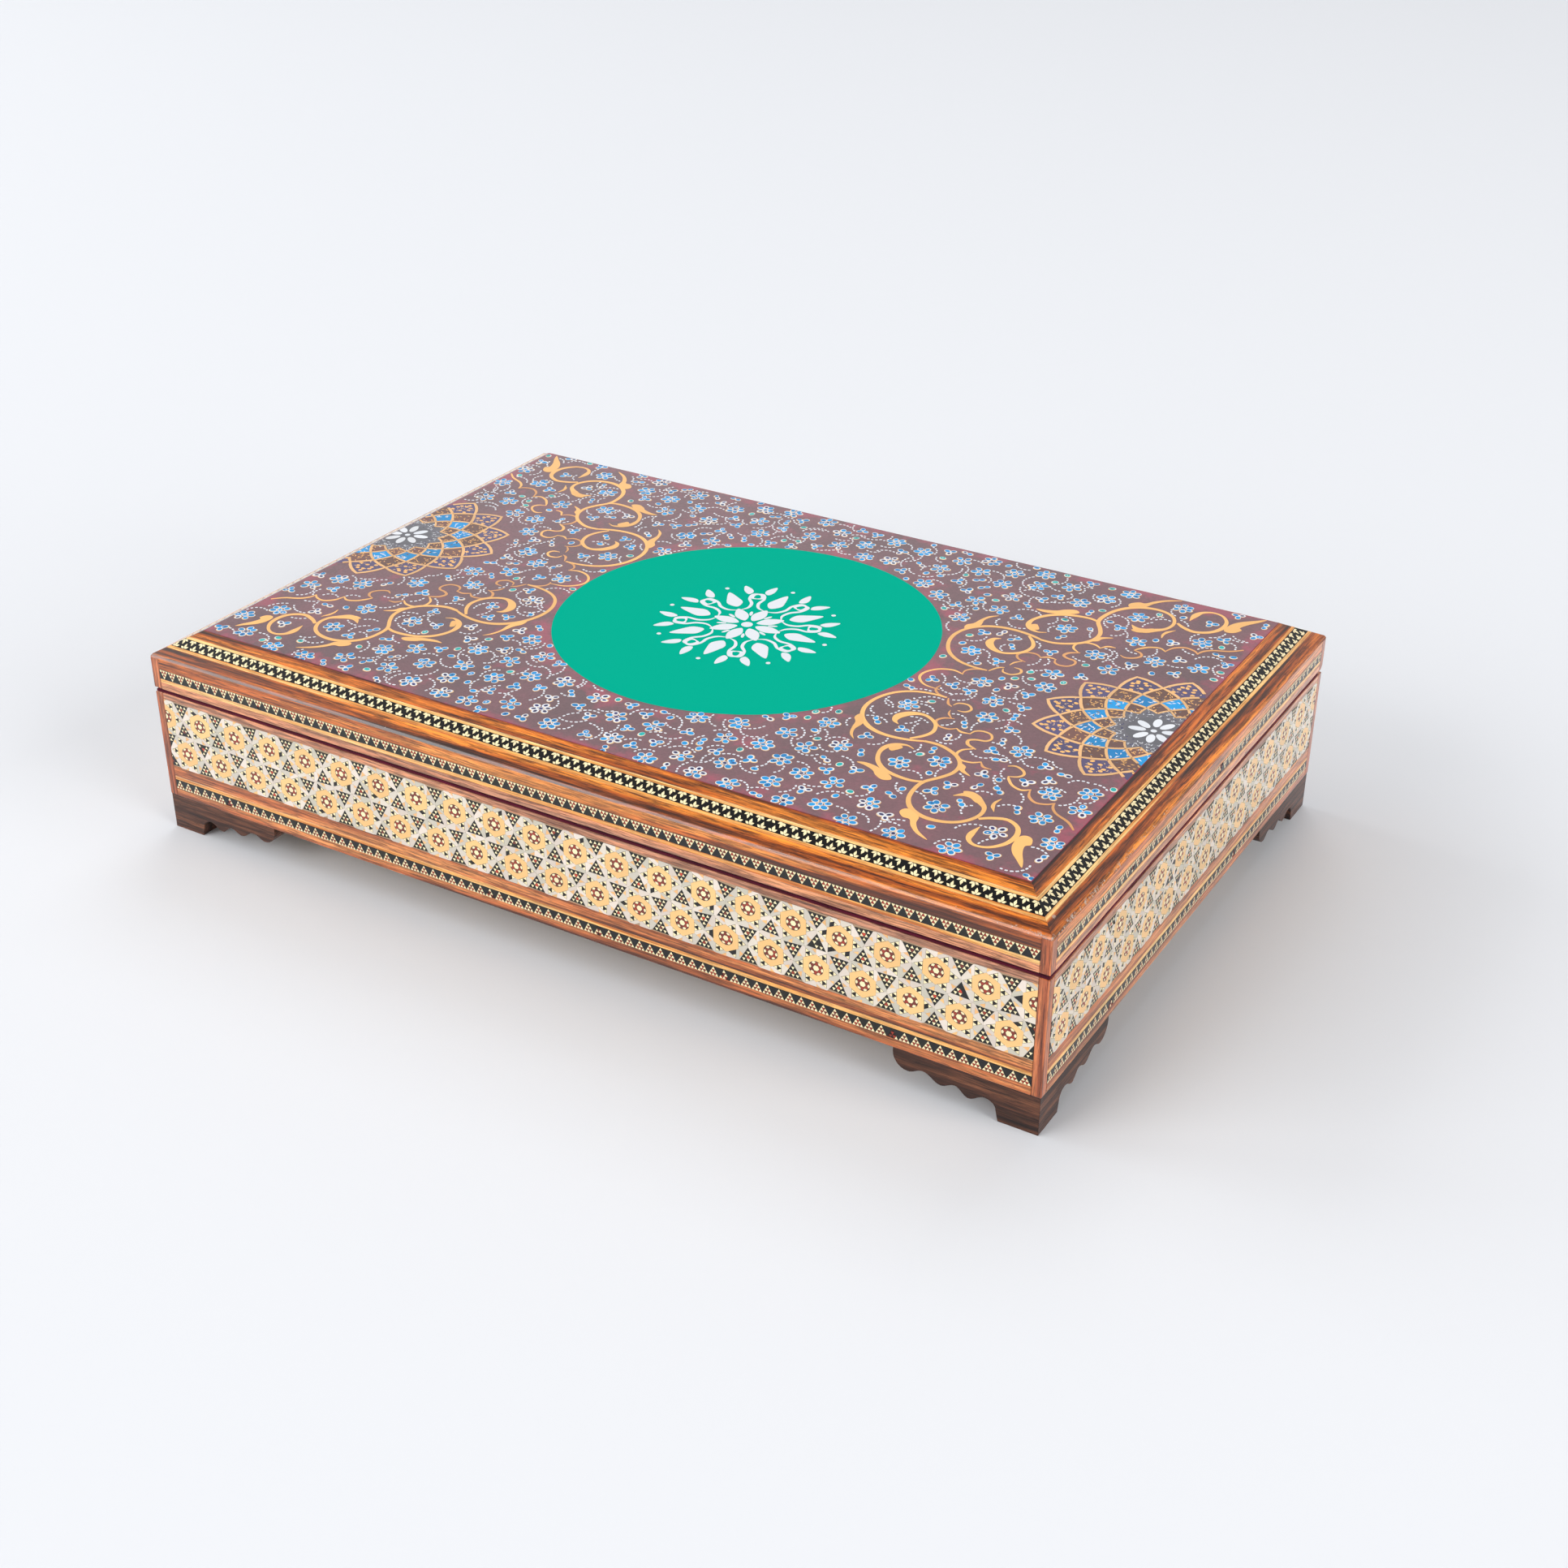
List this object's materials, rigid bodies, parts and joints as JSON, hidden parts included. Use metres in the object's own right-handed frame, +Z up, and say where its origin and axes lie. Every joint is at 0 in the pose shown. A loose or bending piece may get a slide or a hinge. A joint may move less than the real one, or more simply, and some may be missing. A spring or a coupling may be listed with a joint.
{
  "type": "inlaid wooden box",
  "caption": "Low rectangular inlaid wooden box with a hinged bevelled lid, a painted top panel, a velvet lining and scalloped bracket feet.",
  "frame": {"origin": "centre of the footprint, on the surface the box stands on", "axes": "+Z up, +X along the long side, the front long side faces -Y and the hinges are at +Y"},
  "size_m": [0.318, 0.212, 0.0704],
  "materials": {
    "carcass_wood": "plain softwood, unfinished inside the box",
    "corner_wood": "clear gloss lacquer",
    "body_band_wood": "clear gloss lacquer",
    "lid_band_wood": "clear gloss lacquer",
    "moulding_wood": "clear gloss lacquer",
    "foot_wood": "dark stained, satin lacquer",
    "pale_line": "clear gloss lacquer",
    "star_inlay": "wood and bone marquetry under clear gloss lacquer",
    "triangle_inlay": "wood and bone marquetry under clear gloss lacquer",
    "woven_inlay": "wood and bone marquetry under clear gloss lacquer",
    "painted_lacquer": "hand painted, clear gloss lacquer",
    "velvet": "cotton velvet glued on card",
    "brass": "plain brass, slightly dulled"
  },
  "bodies": {
    "body": {"wall_front": "carcass_wood", "wall_back": "carcass_wood", "wall_left": "carcass_wood", "wall_right": "carcass_wood", "bottom_board": "carcass_wood", "body_corner_strips": "corner_wood", "body_bands_front": "body_band_wood", "body_bands_back": "body_band_wood", "body_bands_left": "body_band_wood", "body_bands_right": "body_band_wood", "body_stringing": "pale_line", "body_triangles": "triangle_inlay", "star_panel_front": "star_inlay", "star_panel_back": "star_inlay", "star_panel_left": "star_inlay", "star_panel_right": "star_inlay", "foot_front_left": "foot_wood", "foot_front_right": "foot_wood", "foot_back_left": "foot_wood", "foot_back_right": "foot_wood", "foot_blocks": "carcass_wood", "lining_floor": "velvet", "lining_walls": "velvet", "rim_velvet_body": "velvet", "hinge_leaf_body_left": "brass", "hinge_leaf_body_right": "brass", "hinge_pins": "brass", "screws_body": "brass"},
    "lid": {"lid_rail_front": "carcass_wood", "lid_rail_back": "carcass_wood", "lid_rail_left": "carcass_wood", "lid_rail_right": "carcass_wood", "lid_board": "carcass_wood", "painted_panel": "painted_lacquer", "lid_corner_strips": "corner_wood", "lid_bands_front": "lid_band_wood", "lid_bands_back": "lid_band_wood", "lid_bands_left": "lid_band_wood", "lid_bands_right": "lid_band_wood", "lid_stringing": "pale_line", "lid_triangles": "triangle_inlay", "moulding_front": "moulding_wood", "moulding_back": "moulding_wood", "moulding_left": "moulding_wood", "moulding_right": "moulding_wood", "bevel_inlay": "woven_inlay", "bevel_stringing": "pale_line", "panel_border": "moulding_wood", "lid_lining_top": "velvet", "lid_lining_walls": "velvet", "rim_velvet_lid": "velvet", "hinge_leaf_lid_left": "brass", "hinge_leaf_lid_right": "brass", "screws_lid": "brass"}
  },
  "joints": [
    {"name": "lid_hinge", "type": "hinge", "parent": "body", "child": "lid", "pos_m": [0, 0.1045, 0.0514], "axis": [-1, 0, 0], "range_deg": [0, 100]}
  ]
}
